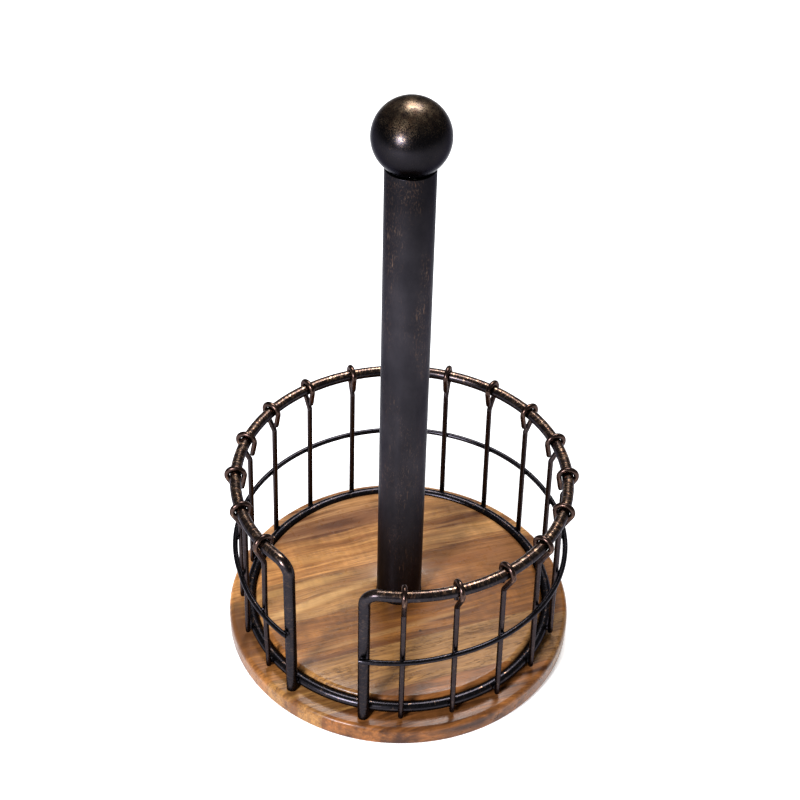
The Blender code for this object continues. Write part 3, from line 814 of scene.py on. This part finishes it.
def make_rod():
    """Threaded at both ends, and a little thinner than the thread between them."""
    core = ROD_RADIUS - THREAD_DEPTH
    shank = core + THREAD_DEPTH / 2
    top_start, low_end = ROD_HIGH.z - THREAD_LENGTH, ROD_LOW.z + THREAD_LENGTH
    profile = [(0.0, ROD_HIGH.z), (core, ROD_HIGH.z)]
    profile += thread_profile(top_start, ROD_HIGH.z - ROD_TIP, ROD_RADIUS)
    profile += [(shank, top_start), (shank, low_end)]
    profile += thread_profile(ROD_LOW.z + ROD_TIP, low_end, ROD_RADIUS)
    profile += [(core, ROD_LOW.z), (0.0, ROD_LOW.z)]
    mesh = lathe("threaded_rod", profile, THREAD_STEPS)
    finish_piece("threaded_rod", mesh, ZINC, "stand", ["tie_rod"])


def make_washer():
    bore, outer, edge = ROD_RADIUS + GAP, WASHER_HIGH.x, WASHER_EDGE
    top, low = WASHER_HIGH.z, WASHER_LOW.z
    profile = [(bore, top), (outer - edge, top), (outer, top - edge), (outer, low + edge)]
    profile += [(outer - edge, low), (bore + edge, low), (bore, low + edge)]
    mesh = lathe("flat_washer", profile, WASHER_STEPS, closed=True)
    finish_piece("flat_washer", mesh, ZINC, "stand", ["clamp_washer"])


def make_nut():
    """A hexagon with its corners turned down to cones, bored through."""
    flat = min(NUT_HIGH.x, NUT_HIGH.y)
    first_corner = math.radians(30 if NUT_HIGH.y > NUT_HIGH.x else 0)
    height = NUT_HIGH.z - NUT_LOW.z
    sections = (
        (0.0, NUT_CHAMFER),
        (NUT_CHAMFER_SHARE, 0.0),
        (1.0 - NUT_CHAMFER_SHARE, 0.0),
        (1.0, NUT_CHAMFER),
    )
    shape = bmesh.new()
    rings = []
    for share, inset in sections:
        ring = []
        for i in range(NUT_STEPS):
            turn = math.tau * i / NUT_STEPS
            off = (turn + first_corner) % math.radians(60)
            hexagon = flat / math.cos(off - math.radians(30))
            radius = min(hexagon, flat * NUT_CORNER_SHARE - inset)
            x, y = radius * math.cos(turn), radius * math.sin(turn)
            ring.append(shape.verts.new((x, y, NUT_LOW.z + share * height)))
        rings.append(ring)
    for level in (NUT_HIGH.z, NUT_LOW.z):
        rings.append(circle_of_verts(shape, ROD_RADIUS + GAP, level, NUT_STEPS))
    for first, second in zip(rings, rings[1:] + rings[:1]):
        for i in range(NUT_STEPS):
            j = (i + 1) % NUT_STEPS
            shape.faces.new((first[i], first[j], second[j], second[i]))
    finish_piece("hex_nut", to_mesh(shape, "hex_nut"), ZINC, "stand", ["clamp_nut"])


# ---------------------------------------------------------------- basket


def rail_path():
    """Up from the ledge, over a bend, round the top, and the same down on the other side of the gap."""
    foot, bend_start = LEDGE_TOP + GAP, RAIL_HEIGHT - RAIL_BEND
    rise = (bend_start - foot) / UPRIGHT_STEPS
    upright = [(END_POST_ANGLE, foot + rise * i) for i in range(UPRIGHT_STEPS)]
    corner = []
    for along, up in arc((RAIL_BEND, bend_start), RAIL_BEND, 180, 90, BEND_STEPS):
        corner.append((END_POST_ANGLE + math.degrees(along / RAIL_RADIUS), up))
    start = END_POST_ANGLE + math.degrees(RAIL_BEND / RAIL_RADIUS)
    stride = (360 - 2 * start) / RAIL_STEPS
    ring = [(start + stride * i, RAIL_HEIGHT) for i in range(1, RAIL_STEPS)]
    mirrored = [(360 - angle, up) for angle, up in reversed(upright + corner)]
    return [around(RAIL_RADIUS, angle, up) for angle, up in upright + corner + ring + mirrored]


def make_rail():
    path, shares = with_round_ends(rail_path(), RAIL_ROD)
    mesh = tube("rim_rail", path, RAIL_ROD, ROD_SIDES, shares=shares)
    finish_piece("rim_rail", mesh, RAIL_METAL, "basket", ["top_rail"])


def make_ring():
    path = [around(RING_RADIUS, 360 * i / RING_STEPS, RING_HEIGHT) for i in range(RING_STEPS)]
    mesh = tube("foot_ring", path, RING_ROD, ROD_SIDES, closed=True)
    finish_piece("foot_ring", mesh, RING_METAL, "basket", ["bottom_ring"])


def mid_swing(angle):
    """How far the mid wire has swung out, from 0 at the second rib to 1 at the end post."""
    from_gap = min(angle % 360, -angle % 360)
    swing = (SECOND_RIB_ANGLE - from_gap) / (SECOND_RIB_ANGLE - END_POST_ANGLE)
    return min(max(swing, 0.0), 1.0)


def mid_radius(angle):
    return MID_RADIUS + (MID_END_RADIUS - MID_RADIUS) * mid_swing(angle)


def mid_height(angle):
    """The mid wire leans, and its end to the left of the gap is welded on lower."""
    drop = MID_DROP * mid_swing(angle) if angle % 360 > 180 else 0.0
    return MID_HEIGHT + MID_LEAN * math.cos(math.radians(angle - MID_LEAN_ANGLE)) - drop


def make_mid_wire():
    """Round the outside of the ribs; both ends swing out onto the end posts."""
    stride = (360 - 2 * MID_END_ANGLE) / MID_WIRE_STEPS
    angles = [MID_END_ANGLE + stride * i for i in range(MID_WIRE_STEPS + 1)]
    path = [around(mid_radius(angle), angle, mid_height(angle)) for angle in angles]
    path, shares = with_round_ends(path, RIB_WIRE, 3)
    mesh = tube("belt_wire", path, RIB_WIRE, WIRE_SIDES, shares=shares)
    finish_piece("belt_wire", mesh, BELT_METAL, "basket", ["mid_wire"])


def rib_angles():
    return [FIRST_RIB_ANGLE + RIB_SPACING * number for number in range(RIB_COUNT)]


def tangent_angle(point, centre, radius, side):
    """Where a line from the point touches the circle, in degrees; side is +1 or -1."""
    away = Vector(point) - Vector(centre)
    towards_point = math.degrees(math.atan2(away.y, away.x))
    return towards_point + side * math.degrees(math.acos(radius / away.length))


def rib_outline(belly, splay):
    """A rib in the plane of (radius, height): up, out round the rail and back onto itself."""
    rail = (RAIL_RADIUS, RAIL_HEIGHT)
    middle = (RIB_RADIUS_AT_MID + belly, MID_HEIGHT)
    start = (RIB_RADIUS - RIB_LEAN + splay, RAIL_HEIGHT - HOOK_START)
    end = (RAIL_RADIUS + HOOK_END[0], RAIL_HEIGHT + HOOK_END[1])
    outside = tangent_angle(start, rail, HOOK_RADIUS, 1)
    inside = tangent_angle(end, rail, HOOK_RADIUS, -1) + 360
    hook = arc(rail, HOOK_RADIUS, outside, inside, HOOK_STEPS)
    corners = [Vector((*place, 0.0)) for place in (middle, start, hook[0])]
    bent = [(point.x, point.y) for point in fillet(corners, RIB_BEND, 5)]
    straight = []
    for low, high in (((RIB_RADIUS, RIB_FOOT), middle), (middle, start)):
        for i in range(RIB_STEPS):
            straight.append(tuple(Vector(low).lerp(Vector(high), i / RIB_STEPS)))
    half_way = ((hook[-1][0] + end[0]) / 2, (hook[-1][1] + end[1]) / 2)
    return straight + bent[1:-1] + hook + [half_way, end]


def make_ribs():
    for number, angle in enumerate(rib_angles()):
        shift = (END_RIB_BELLY, END_RIB_SPLAY) if number in (0, RIB_COUNT - 1) else (0.0, 0.0)
        path = [around(radius, angle, height) for radius, height in rib_outline(*shift)]
        path, shares = with_round_ends(path, RIB_WIRE, 3)
        name = f"hooked_rib_{number + 1:02d}"
        mesh = tube(name, path, RIB_WIRE, WIRE_SIDES, shares=shares)
        finish_piece(name, mesh, RIB_METAL, "basket", [f"rib_{number + 1:02d}"])


def make_welds():
    """A drop of metal wherever a rib or an end post meets the foot ring or the mid wire."""
    shapes = []
    for number, angle in enumerate(rib_angles()):
        spin = math.radians(angle)
        at_ring = around(RING_RADIUS + RING_ROD - WELD_SINK, angle, RING_HEIGHT + WELD_RISE)
        shapes.append(blob(at_ring, RIB_FOOT_WELD, number, spin))
        at_belt = around(mid_radius(angle) - RIB_WIRE - WELD_GAP, angle, mid_height(angle))
        shapes.append(blob(at_belt, RIB_MID_WELD, number + 40, spin))
    for side in (1, -1):
        angle = side * END_POST_ANGLE
        spin = math.radians(angle)
        at_ring = around(RING_RADIUS + RING_ROD - 2 * WELD_SINK, angle, RING_HEIGHT)
        shapes.append(blob(at_ring, END_POST_FOOT_WELD, 80 + side, spin))
        at_belt = around(RAIL_RADIUS + RAIL_ROD, angle, mid_height(angle))
        shapes.append(blob(at_belt, END_POST_MID_WELD, 90 + side, spin))
    mesh = joined("weld_beads", shapes)
    finish_piece("weld_beads", mesh, POST_METAL, "basket", [])


make_board()
make_feet()
make_post()
make_ball()
make_rod()
make_washer()
make_nut()
make_rail()
make_ring()
make_mid_wire()
make_ribs()
make_welds()
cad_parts["finial_insert"].data.materials.clear()
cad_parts["finial_insert"].data.materials.append(ZINC)

# ---------------------------------------------------------------- floor, lights and camera

VIEW_AZIMUTH = math.radians(25.0)
FLOOR_RADIUS = 6.0
FLOOR_GLOW = 0.42
WORLD_LIGHT = 0.20
LENS, SENSOR = 77.93, 36.0
EYE_RIGHT, EYE_BACK, EYE_HEIGHT = 0.3 * MM, 693.7 * MM, 745.7 * MM
TILT, PAN, ROLL = 0.699, -0.0036, 0.0265  # radians


def from_camera_frame(right, away, up):
    """A direction or place given as right of, away from and above the viewer's side of the object."""
    return Vector((
        right * math.cos(VIEW_AZIMUTH) - away * math.sin(VIEW_AZIMUTH),
        right * math.sin(VIEW_AZIMUTH) + away * math.cos(VIEW_AZIMUTH),
        up,
    ))


def make_floor():
    s = Shader("floor_paper")
    place = object_place(s)
    tone = s.noise(scaled(s, place, (30.0, 30.0, 30.0)), 2.0)
    colour = s.ramp(tone, [(0.0, (0.93, 0.93, 0.93)), (1.0, (0.95, 0.95, 0.95))])
    s.main.inputs["Emission Color"].default_value = (1.0, 1.0, 1.0, 1.0)
    s.main.inputs["Emission Strength"].default_value = FLOOR_GLOW
    material = s.finish(base_color=colour, roughness=0.9)
    mesh = bpy.data.meshes.new("floor")
    shape = bmesh.new()
    bmesh.ops.create_circle(shape, cap_ends=True, segments=96, radius=FLOOR_RADIUS)
    shape.to_mesh(mesh)
    shape.free()
    floor = bpy.data.objects.new("floor", mesh)
    mesh.materials.append(material)
    scene.collection.objects.link(floor)


def area_light(name, place, aim, width, height, power, colour):
    light = bpy.data.lights.new(name, "AREA")
    light.shape = "RECTANGLE"
    light.size, light.size_y = width, height
    light.energy = power
    light.color = colour
    lamp = bpy.data.objects.new(name, light)
    lamp.location = place
    lamp.rotation_mode = "QUATERNION"
    lamp.rotation_quaternion = (aim - place).to_track_quat("-Z", "Y")
    scene.collection.objects.link(lamp)


def make_world():
    world = bpy.data.worlds.new("studio")
    world.use_nodes = True
    scene.world = world
    background = world.node_tree.nodes["Background"]
    background.inputs["Color"].default_value = (1.0, 1.0, 1.0, 1.0)
    background.inputs["Strength"].default_value = WORLD_LIGHT


def make_camera():
    """A long lens that looks down on the object, rolled slightly."""
    camera = bpy.data.cameras.new("camera")
    camera.sensor_width = SENSOR
    camera.lens = LENS
    camera.clip_start, camera.clip_end = 0.01, 50.0
    eye = bpy.data.objects.new("camera", camera)
    level = math.cos(TILT)
    forward = from_camera_frame(math.sin(PAN) * level, math.cos(PAN) * level, -math.sin(TILT))
    level_right = from_camera_frame(math.cos(PAN), -math.sin(PAN), 0.0)
    level_up = level_right.cross(forward)
    right = level_right * math.cos(ROLL) + level_up * math.sin(ROLL)
    up = level_up * math.cos(ROLL) - level_right * math.sin(ROLL)
    eye.matrix_world = Matrix((
        (right.x, up.x, -forward.x, 0.0),
        (right.y, up.y, -forward.y, 0.0),
        (right.z, up.z, -forward.z, 0.0),
        (0.0, 0.0, 0.0, 1.0),
    ))
    eye.location = from_camera_frame(EYE_RIGHT, -EYE_BACK, EYE_HEIGHT)
    scene.collection.objects.link(eye)
    scene.camera = eye


def make_lights():
    """A large lamp above and behind, and a small cool one low at the front left."""
    above, low_left = from_camera_frame(0.10, 0.74, 1.52), from_camera_frame(-0.75, -1.2, 0.75)
    basket_top, half_way_up = Vector((0.0, 0.0, 0.12)), Vector((0.0, 0.0, 0.2))
    white, cool = (1.0, 1.0, 1.0), (0.92, 0.93, 1.0)
    area_light("key_overhead", above, basket_top, width=0.7, height=0.5, power=27, colour=white)
    area_light("front_left", low_left, half_way_up, width=0.36, height=0.36, power=46, colour=cool)


make_floor()
make_world()
make_lights()
make_camera()
